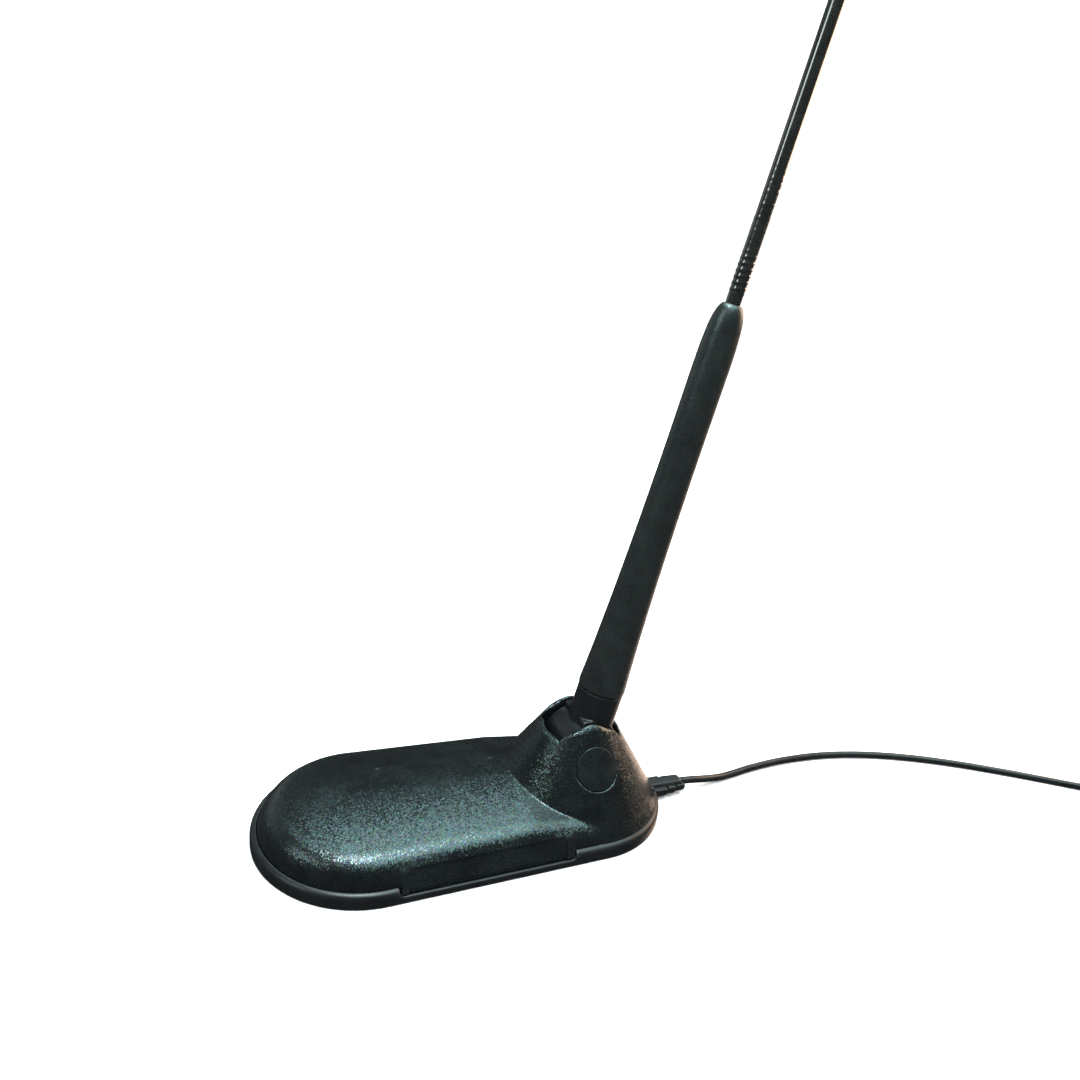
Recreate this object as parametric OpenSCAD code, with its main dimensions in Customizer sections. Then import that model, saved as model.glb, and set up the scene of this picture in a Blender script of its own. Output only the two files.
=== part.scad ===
// Mobile whip antenna on a long magnetic base with a tilting mast and a thin coaxial lead.
// Millimetres. +Z is up, +X points to the tail, where the lead leaves. The origin is on the rest face.

/* [Base] */
// Length of the tray from nose to tail
base_len = 146; // [142:1:150]
// Radius of the nose in plan
nose_r = 36; // [35:0.5:37]
// Radius of the tail in plan
tail_r = 33.5; // [33:0.5:34.5]
// Height of the tray's rim
rim_z = 5.2; // [4.8:0.1:5.6]
// Height of the rim in the long side notches
notch_z = 2.7; // [2.6:0.1:3.2]
// Top of the crowned housing ahead of the turret
crown_z = 16.5; // [16.3:0.1:17.5]
// Top of the crowned housing over the tail
tail_z = 14; // [13:0.1:15]
// Wall thickness of the housing
wall = 2.2; // [1.8:0.1:2.4]

/* [Hinge] */
// Height of the tilt axis
pivot_z = 25.8; // [25.6:0.1:26]
// Lean of the mast towards the tail at rest
lean = 10.8; // [8:0.1:12]
// Width of the slot between the two ears
slot_w = 17; // [17:0.1:17.4]
// Radius of the knuckle drum
drum_r = 12.4; // [12:0.1:12.5]
// Diameter of the caps over the hinge bolt
cap_d = 15; // [14:0.5:16.5]

/* [Mast] */
// Distance from the tilt axis to the seam under the mast sleeve
seam_s = 21.4; // [20:0.1:22]
// Distance from the tilt axis to the top of the mast sleeve
sleeve_s = 159; // [157:1:162]
// Distance from the tilt axis to the tip of the whip
tip_s = 401; // [300:1:500]
// Diameter of the sheathed whip
whip_d = 4.9; // [4.8:0.1:5.4]

/* [Cable] */
// Diameter of the coaxial lead
cable_d = 2.8; // [2.6:0.1:2.8]
// Turns in each of the coil's four layers
coil_turns = 6.25; // [6:0.25:6.5]

/* [Hidden] */
$fn = 72;
eps = 0.01;

// Centres of the plan's two end arcs
nose_x = nose_r - base_len / 2;
tail_x = base_len / 2 - tail_r;

// Levels in the base
pad_t = 0.7;
skirt_z = 0.1;
floor_z0 = 0.8;
floor_z1 = 2.2;
shell_z0 = 2.65;
magnet_z0 = 2.3;
magnet_z1 = 6.6;
yoke_z1 = 7.9;
board_z0 = 9.6;
board_z1 = 10.6;

// Insets from the tray's outline
rim_in = 2.1;
seam_in = 2.4;
pad_in = 3;
notch_x = [-32.5, 28];

// Crown of the housing: a leaning wall, a round shoulder and a shallow dome, each point as
// an inset in millimetres and a share of the height over the rim
crown_side = [
    [0, 0], [0.75, 0.18], [1.55, 0.36], [2.3, 0.47], [3.1, 0.56],
    [4.6, 0.67], [7, 0.77], [12, 0.85], [18, 0.92], [25, 0.98]
];
crown_mid_x = 15;
nose_drop = 0.5;

// Turret cone
turret_x = 39.75;
cone_k = 0.6375;
cone_r0 = 27.3;
cone_rz = 12.1;
cone_z0 = 7;
cone_z1 = 39.6;
cone_wall = 2.85;
function cone_r(z) = cone_r0 - cone_k * (z - cone_rz);

// Hinge
pivot_x = 40.3;
mast_off = 2.2;
pocket_r = drum_r + 0.5;
tub_r = 14.5;
ear_y = 11.5;
lip_z = 32.4;
lip_t = 2.4;
recess_z = 29.5;
drum_w = slot_w - 1.2;
boss_r = 8.2;
boss_s = 6.2;
relief_r = 10.2;
bolt_r = 2;
bore_r = 2.05;
cap_z = 26;
cap_tilt = atan(cone_k);
front_limit = -31;
rear_limit = 14.5;

// Screw places in plan
screw_at = [[-64, 0], [-2, 25], [-2, -25], [58, 16], [58, -16]];
post_at = [[-18, 9], [9, 9]];

// Lead: exit at the strain relief, then along the surface to the coil
exit_y = -5;
exit_z = 4.3;
exit_x = 84.5;
cable_r = cable_d / 2;
inner_route = [
    [84.4, -5, 4.3], [76, -5, 4.3], [66, -5, 4.3], [62.5, -5.4, 5], [59.5, -6.6, 6.8],
    [56, -9, 8.8], [52.5, -12, 9.6], [48, -13.5, 9.6], [39, -13.5, 9.6], [31, -13.3, 9.6],
    [24, -12, 9.7], [19, -10.2, 9.9], [14.8, -9, 10.1]
];
lead_route = [
    [84.5, -5, 4.3], [90, -5, 3.9], [96, -4.5, 2.9], [103, -3.6, 1.8], [110, -2.4, 1.4],
    [118, -1, 1.4], [126, 0, 1.4], [134, 0.6, 1.4], [142, 0.7, 1.4], [150, 0.4, 1.4],
    [158, -0.4, 1.4], [166, -1.8, 1.4], [174, -3.7, 1.4], [182, -6.1, 1.4], [190, -9, 1.4],
    [198, -12.4, 1.4], [206, -16.2, 1.4], [214, -20.4, 1.4], [222, -25, 1.4], [230, -29.8, 1.4],
    [238, -34.8, 1.4], [246, -39.9, 1.4], [254, -45.2, 1.5], [261, -50, 1.7], [268, -54.9, 2],
    [274.4, -59.5, 2.1]
];

// Coil: four flat layers wound in, out, in and out, a little over a diameter apart
coil_c = [260, -80];
coil_in_r = 7.1;
coil_pitch = cable_d + 0.07;
coil_out_r = coil_in_r + coil_turns * coil_pitch;
coil_z0 = 0.7;
coil_top = coil_z0 + cable_d + 3 * coil_pitch;
coil_side = cable_r + 0.05;
tie_at = 60;
tie_w = 3;
tie_t = 0.6;

// Plug: it lies on the coil along a chord, and the tail curls up to its back end
plug_turn = 235;
plug_v = -11;
plug_back = 3.5;
nut_r = 4.62;
plug_z = coil_top + nut_r + 0.12;
tail_z0 = coil_top + cable_r + 0.03;
tail_route = [
    [24.2, -4.6, tail_z0], [21.6, -8, tail_z0], [18, -10.3, tail_z0 + 0.1],
    [14, -11, tail_z0 + 0.6], [10.5, -11, plug_z - 0.9], [7, -11, plug_z - 0.1],
    [plug_back, plug_v, plug_z]
];

// ---------- shared shapes ----------

// The plan outline: two arcs joined by their outer tangents, as one polygon
function arc(cx, r, from, to, steps = 36) =
    [for (i = [0:steps]) let (t = from + (to - from) * i / steps) [cx + r * cos(t), r * sin(t)]];

module plan(inset) {
    r1 = nose_r - inset;
    r2 = tail_r - inset;
    t = 90 - asin((r1 - r2) / (tail_x - nose_x));
    polygon(concat(arc(tail_x, r2, -t, t), arc(nose_x, r1, t, 360 - t)));
}

module slab(inset, z0, z1) {
    translate([0, 0, z0]) linear_extrude(z1 - z0) plan(inset);
}

module block(lo, hi) {
    translate(lo) cube(hi - lo);
}

module rod(r, z0, z1) {
    translate([0, 0, z0]) cylinder(h = z1 - z0, r = r);
}

module pipe(r_out, r_in, z0, z1) {
    difference() {
        rod(r_out, z0, z1);
        rod(r_in, z0 - 1, z1 + 1);
    }
}

// A cylinder along Y between two distances from the centre plane
module across(r, y0, y1, sides = $fn) {
    translate([pivot_x, y0, pivot_z]) rotate([-90, 0, 0]) cylinder(h = y1 - y0, r = r, $fn = sides);
}

module at_each(places) {
    for (p = places) translate([p[0], p[1], 0]) children();
}

// The mast's frame: origin on the tilt axis, local Z along the mast
module on_hinge() {
    translate([pivot_x, 0, pivot_z]) rotate([0, lean, 0]) children();
}

module on_mast() {
    on_hinge() translate([mast_off, 0, 0]) children();
}

// A tube swept along a route, with one ring of points at each of its places
function unit(v) = v / norm(v);
function heading(p, i) = unit(p[min(i + 1, len(p) - 1)] - p[max(i - 1, 0)]);
function aside(t) = unit(cross(t, [0, 0, 1]));
function ring(p, i, r, sides) =
    let (t = heading(p, i), s = aside(t), u = cross(s, t))
    [for (k = [0:sides - 1]) p[i] + r * (cos(360 * k / sides) * s + sin(360 * k / sides) * u)];

module tube(p, r, sides = 8) {
    n = len(p);
    points = [for (i = [0:n - 1]) each ring(p, i, r, sides)];
    ends = [[for (k = [0:sides - 1]) k], [for (k = [sides - 1:-1:0]) (n - 1) * sides + k]];
    skin = [
        for (i = [0:n - 2], k = [0:sides - 1])
            [i * sides + k, (i + 1) * sides + k, (i + 1) * sides + (k + 1) % sides, i * sides + (k + 1) % sides]
    ];
    polyhedron(points = points, faces = concat(ends, skin), convexity = 6);
}

// ---------- base ----------

module foot_pad() {
    color("#1b1c1d") slab(pad_in, 0, pad_t);
}

module boot_gap(z0, z1) {
    block([62, exit_y - 4.6, z0], [76, exit_y + 4.6, z1]);
}

module base_tray() {
    color("#25282a") difference() {
        slab(0, skirt_z, rim_z);
        slab(pad_in - 0.1, -1, floor_z0);
        slab(rim_in, floor_z1, rim_z + 1);
        for (side = [0, 1]) mirror([0, side, 0])
            block([notch_x[0], 20, notch_z], [notch_x[1], 40, rim_z + 1]);
        boot_gap(floor_z1 + 0.1, rim_z + 1);
        at_each(screw_at) {
            rod(1.35, 0, 3);
            translate([0, 0, floor_z0 - 0.1]) cylinder(h = 1.3, r1 = 2.8, r2 = 1.2);
        }
    }
}

module tray_screws() {
    color("#9a9da0") at_each(screw_at) {
        translate([0, 0, floor_z0 + 0.05]) cylinder(h = 1.1, r1 = 2.55, r2 = 1.2);
        rod(1.2, floor_z0 + 0.05, 8.6);
    }
}

module housing_gasket() {
    color("#3b3d3f") difference() {
        slab(rim_in + 0.2, floor_z1, shell_z0 - 0.05);
        slab(rim_in + 2.2, floor_z1 - 1, shell_z0 + 1);
        boot_gap(0, 10);
    }
}

module front_magnet() {
    color("#4a4c4e") translate([-36, 0, 0]) pipe(22, 4, magnet_z0, magnet_z1);
}

module rear_magnet() {
    color("#4a4c4e") translate([32, 0, 0]) pipe(20, 4, magnet_z0, magnet_z1);
}

module yoke_plate() {
    color("#a7abae") translate([0, 0, magnet_z1 + 0.05]) linear_extrude(yoke_z1 - magnet_z1 - 0.05) {
        translate([-36, 0]) circle(22);
        translate([32, 0]) circle(20);
        translate([-36, -20]) square([68, 40]);
    }
}

// ---------- upper housing ----------

module dome(r, top, z0) {
    side = [for (p = crown_side) [r - p[0], rim_z + (top - rim_z) * p[1]]];
    rotate_extrude($fn = 48)
        polygon(concat([[0, z0], [r, z0]], side, [[0, top]]));
}

module crown(shrink, z0) {
    r1 = nose_r - seam_in - shrink;
    r2 = tail_r - seam_in - shrink;
    part = (crown_mid_x - nose_x) / (tail_x - nose_x);
    hull() {
        translate([nose_x, 0, 0]) dome(r1, crown_z - nose_drop - shrink, z0);
        translate([crown_mid_x, 0, 0]) dome(r1 + (r2 - r1) * part, crown_z - shrink, z0);
        translate([tail_x, 0, 0]) dome(r2, tail_z - shrink, z0);
    }
}

module cone(cut, z0, z1) {
    translate([turret_x, 0, z0]) cylinder(h = z1 - z0, r1 = cone_r(z0) - cut, r2 = cone_r(z1) - cut);
}

// Skirt pieces that fill the tray's two notches
module notch_pads() {
    intersection() {
        slab(0.5, notch_z + 0.3, rim_z);
        for (side = [0, 1]) mirror([0, side, 0])
            block([notch_x[0] + 0.3, 28, 0], [notch_x[1] - 0.3, 40, 10]);
    }
}

module housing_outside() {
    crown(0, shell_z0);
    cone(0, cone_z0, cone_z1);
}

// Room for the drum and for the mast over its whole travel, and the recess behind the front lip
module hinge_slot() {
    half = slot_w / 2;
    across(pocket_r, -half, half);
    intersection() {
        block([20, -half, recess_z], [pivot_x, half, lip_z + 1]);
        cone(lip_t, cone_z0, cone_z1);
    }
    block([0, -half, lip_z], [80, half, 60]);
    front = [-sin(-front_limit), cos(front_limit)];
    rear = [sin(rear_limit), cos(rear_limit)];
    front_side = (boss_r - mast_off + 0.35) * [-front[1], front[0]];
    rear_side = (boss_r + mast_off + 0.35) * [rear[1], -rear[0]];
    translate([pivot_x, half, pivot_z]) rotate([90, 0, 0]) linear_extrude(slot_w)
        polygon([front_side, front_side + 50 * front, rear_side + 50 * rear, rear_side]);
}

// A disc of the cone's own wall, square to the cone's side: side is -1 or 1
module cone_disc(side, r, thick) {
    intersection() {
        translate([turret_x, side * cone_r(cap_z), cap_z])
            rotate([-side * (90 - cap_tilt), 0, 0]) cylinder(h = 8, r = r, center = true);
        difference() {
            cone(0, cone_z0, cone_z1);
            cone(thick / cos(cap_tilt), cone_z0 - 1, cone_z1 + 1);
        }
    }
}

module upper_housing() {
    color("#222527") difference() {
        union() {
            difference() {
                union() {
                    housing_outside();
                    notch_pads();
                }
                crown(wall, shell_z0 - 1);
                cone(cone_wall, 5, 31);
            }
            intersection() {
                housing_outside();
                union() {
                    across(tub_r, -ear_y, ear_y);
                    at_each(screw_at) rod(3.2, floor_z1 + 0.1, 16);
                    at_each(post_at) rod(2.2, board_z1 + 0.05, 16);
                }
            }
            at_each(screw_at) rod(3.2, floor_z1 + 0.1, 7);
        }
        hinge_slot();
        across(bore_r, -30, 30);
        across(4.6, -17, -ear_y);
        across(4.6, ear_y, 17);
        cone_disc(-1, cap_d / 2 + 0.15, 1.35);
        cone_disc(1, cap_d / 2 + 0.15, 1.35);
        boot_gap(0, 6.4);
        at_each(screw_at) rod(1.25, 0, 9.2);
        at_each(post_at) rod(0.85, 8, 13.2);
        translate([pivot_x, 0, 0]) rod(1.5, 10, 14);
    }
}

// ---------- circuit and feed ----------

module circuit_board() {
    color("#1f5a38") difference() {
        block([-22, -13, board_z0], [14, 13, board_z1]);
        at_each(post_at) rod(1.1, 0, 20);
    }
}

module board_screws() {
    color("#9a9da0") at_each(post_at) {
        rod(1.8, board_z0 - 1, board_z0 - 0.05);
        rod(0.8, board_z0 - 1, 12.8);
    }
}

module matching_coil() {
    color("#b4672f") translate([2, -6, board_z1 + 1.7]) rotate([-90, 0, 0]) pipe(1.6, 0.9, 0, 12);
}

module capacitors() {
    color("#c8b27c") for (y = [-5.5, 2.5]) block([-10, y, board_z1 + 0.05], [-6.8, y + 2, board_z1 + 1.6]);
}

module feed_strap() {
    color("#c28a3e") block([5, -1.5, board_z1 + 0.05], [42.5, 1.5, board_z1 + 0.35]);
}

module contact_pin() {
    color("#c9a14a") translate([pivot_x, 0, 0]) rod(1.3, board_z1 + 0.4, pivot_z - drum_r - 0.1);
}

module inner_cable() {
    color("#141415") tube(inner_route, cable_r);
}

module cable_clamp() {
    color("#dcdcd6") difference() {
        block([42, -16, yoke_z1 + 0.05], [45, -11.6, 11.7]);
        translate([40, -13.5, 9.6]) rotate([0, 90, 0]) cylinder(h = 8, r = cable_r + 0.1);
    }
}

module rib(x0, x1, r) {
    intersection() {
        translate([x0, exit_y, exit_z - 0.1]) rotate([0, 90, 0]) cylinder(h = x1 - x0, r = r);
        block([x0 - 1, -20, 0.5], [x1 + 1, 10, 6.2]);
    }
}

module strain_relief() {
    color("#17181a") difference() {
        union() {
            block([63.9, exit_y - 5.4, floor_z1 + 0.15], [65.6, exit_y + 5.4, 7.2]);
            block([65.6 - eps, exit_y - 4.4, floor_z1 + 0.15], [73.3, exit_y + 4.4, 6.2]);
            rib(73.2, exit_x, 2.8);
            rib(73.2, 76.5, 4.4);
            rib(77.2, 80.4, 3.9);
            rib(81.1, exit_x, 3.4);
        }
        translate([60, exit_y, exit_z]) rotate([0, 90, 0]) cylinder(h = 30, r = cable_r + 0.03);
    }
}

// ---------- hinge ----------

module hinge_bolt() {
    color("#8f9295") {
        across(bolt_r, -14.6, 15);
        across(3.5, -14.7, -12.4);
    }
}

module hinge_nut() {
    color("#8f9295") difference() {
        across(4.04, 12.4, 14.5, 6);
        across(bore_r, 10, 18);
    }
}

module washer(r, y0, y1) {
    difference() {
        across(r, y0, y1);
        across(bore_r, y0 - 1, y1 + 1);
    }
}

module hinge_washers() {
    color("#a7abae") {
        washer(4.4, -12.35, -ear_y - 0.02);
        washer(4.4, ear_y + 0.02, 12.35);
    }
}

module friction_washers() {
    color("#d8d8d2") {
        washer(5.5, -slot_w / 2 + 0.03, -drum_w / 2 - 0.06);
        washer(5.5, drum_w / 2 + 0.06, slot_w / 2 - 0.03);
    }
}

module hinge_cap_left() {
    color("#1e2022") cone_disc(-1, cap_d / 2, 1.2);
}

module hinge_cap_right() {
    color("#1e2022") cone_disc(1, cap_d / 2, 1.2);
}

// ---------- tilting knuckle ----------

module arc_strip(r_out, r_in, half) {
    intersection() {
        difference() {
            across(r_out, -half, half);
            across(r_in, -half - 1, half + 1);
        }
        on_hinge() block([-11, -5, -20], [11, 5, -5]);
    }
}

// The drum is smaller ahead of the mast, where it shows in the slot
module drum_relief() {
    on_hinge() difference() {
        block([-20, -20, -3], [-5, 20, 20]);
        rotate([90, 0, 0]) cylinder(h = 50, r = relief_r, center = true);
    }
}

module hinge_knuckle() {
    color("#1f2224") difference() {
        union() {
            difference() {
                across(drum_r, -drum_w / 2, drum_w / 2);
                drum_relief();
            }
            on_mast() rod(boss_r, boss_s, seam_s);
        }
        across(bore_r, -20, 20);
        arc_strip(drum_r + 1, drum_r - 0.9, 2.05);
        on_mast() rod(3.02, 4.95, 30);
        on_mast() rod(4.45, 4.95, 7.05);
        on_hinge() translate([5.5, 0, 0]) rod(0.7, -11.5, 6);
    }
}

module contact_strip() {
    color("#c9a14a") arc_strip(drum_r - 0.05, drum_r - 0.85, 2);
}

module link_wire() {
    color("#b4672f") on_hinge() translate([5.5, 0, 0]) rod(0.55, -9.7, 4.9);
}

module mast_stud() {
    color("#c2a350") on_mast() {
        rod(4.4, 5, 7);
        rod(3, 5, 31);
    }
}

module mast_seal() {
    color("#101112") on_mast() pipe(7.3, 3.2, seam_s + 0.02, seam_s + 0.48);
}

// ---------- whip, which screws on to the stud ----------

module mast_insert() {
    color("#c2a350") on_mast() difference() {
        rod(5.5, seam_s + 0.6, 41);
        rod(3.05, 10, 32);
        rod(3.05, 34.5, 42);
    }
}

module mast_sleeve() {
    color("#1d1f20") on_mast() difference() {
        rotate_extrude() polygon([
            [0, seam_s + 0.5], [8.2, seam_s + 0.5], [8.45, seam_s + 1], [8.2, 27], [7.55, 40], [7.05, 54],
            [6.65, 68], [6.35, 82], [6.2, 94], [6.05, 106], [6, 118], [5.95, 142], [5.75, sleeve_s - 12],
            [5.4, sleeve_s - 7], [4.6, sleeve_s - 3], [3.1, sleeve_s], [0, sleeve_s]
        ]);
        rod(5.55, 15, 41.1);
        rod(4.4, 41, 152.3);
        rod(2.55, 152, sleeve_s + 1);
    }
}

module coil_core() {
    color("#d9cf9d") on_mast() rod(3, 34.6, 145.9);
}

module loading_coil() {
    color("#b4672f") on_mast() pipe(4, 3.05, 46, 140);
}

module coil_coupler() {
    color("#c2a350") on_mast() difference() {
        rod(4.2, 141.5, 152);
        rod(3.05, 140, 146);
        rod(1.25, 147, 153);
    }
}

module whip_rod() {
    color("#c9c3a5") on_mast() rod(1.2, 147.1, tip_s - 4.5);
}

module whip_winding() {
    color("#b4672f") on_mast() pipe(1.95, 1.25, 152.4, 186);
}

module whip_sheath() {
    color("#111213") on_mast() difference() {
        rod(whip_d / 2, 153, tip_s - 4.2);
        rod(2, 152, 186.1);
        rod(1.25, 186, tip_s - 4.4);
    }
}

module tip_cap() {
    color("#151617") on_mast() difference() {
        union() {
            rod(3, tip_s - 10, tip_s - 3);
            translate([0, 0, tip_s - 3]) intersection() {
                sphere(3);
                rod(3, -0.5, 3);
            }
        }
        rod(whip_d / 2 + 0.05, tip_s - 11, tip_s - 4.1);
    }
}

// ---------- lead ----------

module on_coil() {
    translate([coil_c[0], coil_c[1], 0]) rotate([0, 0, plug_turn]) children();
}

module cable_lead() {
    color("#141415") tube(lead_route, cable_r);
}

module cable_coil() {
    h = coil_top - coil_z0;
    color("#141415") translate([coil_c[0], coil_c[1], coil_z0])
        pipe(coil_out_r + coil_side, coil_in_r - coil_side, 0, h);
}

module cable_tail() {
    color("#141415") on_coil() tube(tail_route, cable_r);
}

module cable_tie() {
    r0 = coil_in_r - coil_side - 0.35;
    r1 = coil_out_r + coil_side + 0.2;
    color("#e4e4df") on_coil() rotate([0, 0, tie_at]) difference() {
        block([r0 - tie_t, -tie_w / 2, 0.05], [r1 + tie_t, tie_w / 2, coil_top + 0.05 + tie_t]);
        block([r0, -tie_w, 0.05 + tie_t], [r1, tie_w, coil_top + 0.05]);
    }
}

// The plug's frame: local Z runs from the back end to the mating end
module on_plug() {
    on_coil() translate([plug_back, plug_v, plug_z]) rotate([0, -90, 0]) children();
}

module plug_sleeve() {
    color("#151617") on_plug() difference() {
        rod(2.6, 0.05, 10.8);
        rod(1.95, 4, 12);
    }
}

module plug_body() {
    color("#c9ab5c") on_plug() difference() {
        union() {
            rod(1.9, 4.05, 12);
            rod(3.2, 11, 15.5);
            rod(2.3, 15, 19.5);
        }
        rod(2.03, 12.5, 21);
        rod(0.6, 9, 13);
    }
}

module plug_insulator() {
    color("#ecebe4") on_plug() difference() {
        rod(2, 12.55, 17.5);
        rod(0.5, 12, 19);
    }
}

module plug_pin() {
    color("#d8b24c") on_plug() rod(0.46, 9.1, 19.3);
}

module plug_nut() {
    color("#c9ab5c") on_plug() difference() {
        translate([0, 0, 13.2]) rotate([0, 0, 30]) cylinder(h = 7.6, r = nut_r, $fn = 6);
        rod(3.27, 12, 15.6);
        rod(3, 15, 22);
    }
}

foot_pad();
base_tray();
tray_screws();
housing_gasket();
front_magnet();
rear_magnet();
yoke_plate();
upper_housing();
circuit_board();
board_screws();
matching_coil();
capacitors();
feed_strap();
contact_pin();
inner_cable();
cable_clamp();
strain_relief();
hinge_bolt();
hinge_nut();
hinge_washers();
friction_washers();
hinge_cap_left();
hinge_cap_right();
hinge_knuckle();
contact_strip();
link_wire();
mast_stud();
mast_seal();
mast_insert();
mast_sleeve();
coil_core();
loading_coil();
coil_coupler();
whip_rod();
whip_winding();
whip_sheath();
tip_cap();
cable_lead();
cable_coil();
cable_tail();
cable_tie();
plug_sleeve();
plug_body();
plug_insulator();
plug_pin();
plug_nut();
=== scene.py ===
"""Whip antenna on a magnetic base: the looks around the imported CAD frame.

Shapes are worked out in mm and written in metres.
"""

import math

import bpy
import numpy as np
from mathutils import Matrix


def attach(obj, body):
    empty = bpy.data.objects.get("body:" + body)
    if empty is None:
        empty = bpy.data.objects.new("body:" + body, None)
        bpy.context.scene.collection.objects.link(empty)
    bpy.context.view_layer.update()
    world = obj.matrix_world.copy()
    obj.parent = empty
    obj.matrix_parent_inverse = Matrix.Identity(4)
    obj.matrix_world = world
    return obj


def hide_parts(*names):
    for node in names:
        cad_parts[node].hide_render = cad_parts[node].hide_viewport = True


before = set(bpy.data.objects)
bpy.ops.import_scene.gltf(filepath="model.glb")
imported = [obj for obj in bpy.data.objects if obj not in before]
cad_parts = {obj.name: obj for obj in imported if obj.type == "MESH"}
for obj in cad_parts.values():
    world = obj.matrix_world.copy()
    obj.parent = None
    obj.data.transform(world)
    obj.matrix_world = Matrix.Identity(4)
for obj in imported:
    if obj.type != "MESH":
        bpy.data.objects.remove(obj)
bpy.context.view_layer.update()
MM = 0.001

# ---------- camera ----------

CAMERA_AT = (-99.358, -253.308, 212.173)
CAMERA_RIGHT = (0.92123896, -0.37294599, 0.11058965)
CAMERA_UP = (0.04075167, 0.37525739, 0.9260244)
CAMERA_FORWARD = (0.38685667, 0.84858304, -0.3608999)

camera_data = bpy.data.cameras.new("camera")
camera_data.sensor_width = 36
camera_data.lens = 31.156
camera_data.clip_start = 0.01
camera_data.clip_end = 50
camera = bpy.data.objects.new("camera", camera_data)
bpy.context.scene.collection.objects.link(camera)
axes = Matrix((CAMERA_RIGHT, CAMERA_UP, [-c for c in CAMERA_FORWARD])).transposed()
camera.matrix_world = Matrix.Translation([c * MM for c in CAMERA_AT]) @ axes.to_4x4()
bpy.context.scene.camera = camera

# ---------- sizes of the CAD model, in mm ----------

NOSE_X, TAIL_X = -37.0, 39.5
NOSE_R, TAIL_R = 36.0, 33.5
RIM_Z, NOTCH_Z, SKIRT_Z = 5.2, 2.7, 0.1
NOTCH = (-32.5, 28.0)
SCREWS = [(-64, 0), (-2, 25), (-2, -25), (58, 16), (58, -16)]
CONE_X, CONE_K = 39.75, 0.6375
PIVOT = np.array([40.3, 0.0, 25.8])
LEAN = math.radians(10.8)
MAST_OFF = 2.2
SEAM_S, TIP_S = 21.4, 401.0
CORD_D = 2.8

# ---------- materials ----------

RUBBED = (0.16, 0.17, 0.17)
EDGE_START, EDGE_END = 0.53, 0.6
FLAKE_SIZE, HUE_SIZE = 0.38, 0.475
HUE_LEAST, HUE_SPAN = (0.56, 0.74, 0.76), (0.5, 0.6, 0.6)


def node(tree, kind, inputs=(), **settings):
    """A shader node with its settings, and its inputs as values or as sockets to link."""
    made = tree.nodes.new(kind)
    for key, value in settings.items():
        setattr(made, key, value)
    for key, value in dict(inputs).items():
        if isinstance(value, bpy.types.NodeSocket):
            tree.links.new(value, made.inputs[key])
        else:
            made.inputs[key].default_value = value
    return made


def noise(tree, place, size, detail=2.0):
    """Noise with features of about that size, in metres."""
    inputs = {"Vector": place, "Scale": 1 / size, "Detail": detail, "Roughness": 0.55}
    return node(tree, "ShaderNodeTexNoise", inputs).outputs["Fac"]


def cells(tree, place, size):
    """Cells of that size, in mm, with a colour and a distance each."""
    inputs = {"Vector": place, "Scale": 1 / (size * MM)}
    return node(tree, "ShaderNodeTexVoronoi", inputs).outputs


def spread(tree, value, low, high, start=0.3, end=0.7):
    """Maps a pattern's range, by default the usual one of noise, to low..high."""
    inputs = {"Value": value, "From Min": start, "From Max": end, "To Min": low, "To Max": high}
    return node(tree, "ShaderNodeMapRange", inputs).outputs["Result"]


def maths(tree, operation, a, b):
    """Two numbers or patterns, added or multiplied."""
    return node(tree, "ShaderNodeMath", {0: a, 1: b}, operation=operation).outputs[0]


def vector(tree, operation, a, b=(0, 0, 0)):
    """An operation on one or two vectors or colours."""
    return node(tree, "ShaderNodeVectorMath", {0: a, 1: b}, operation=operation).outputs["Vector"]


def mixed(tree, factor, a, b):
    """A colour between two, each a colour or a socket."""
    made = node(tree, "ShaderNodeMix", {"Factor": factor}, data_type="RGBA")
    for end, value in zip([s for s in made.inputs if s.type == "RGBA"], (a, b)):
        if isinstance(value, bpy.types.NodeSocket):
            tree.links.new(value, end)
        else:
            end.default_value = (*value, 1)
    return [s for s in made.outputs if s.type == "RGBA"][0]


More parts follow.
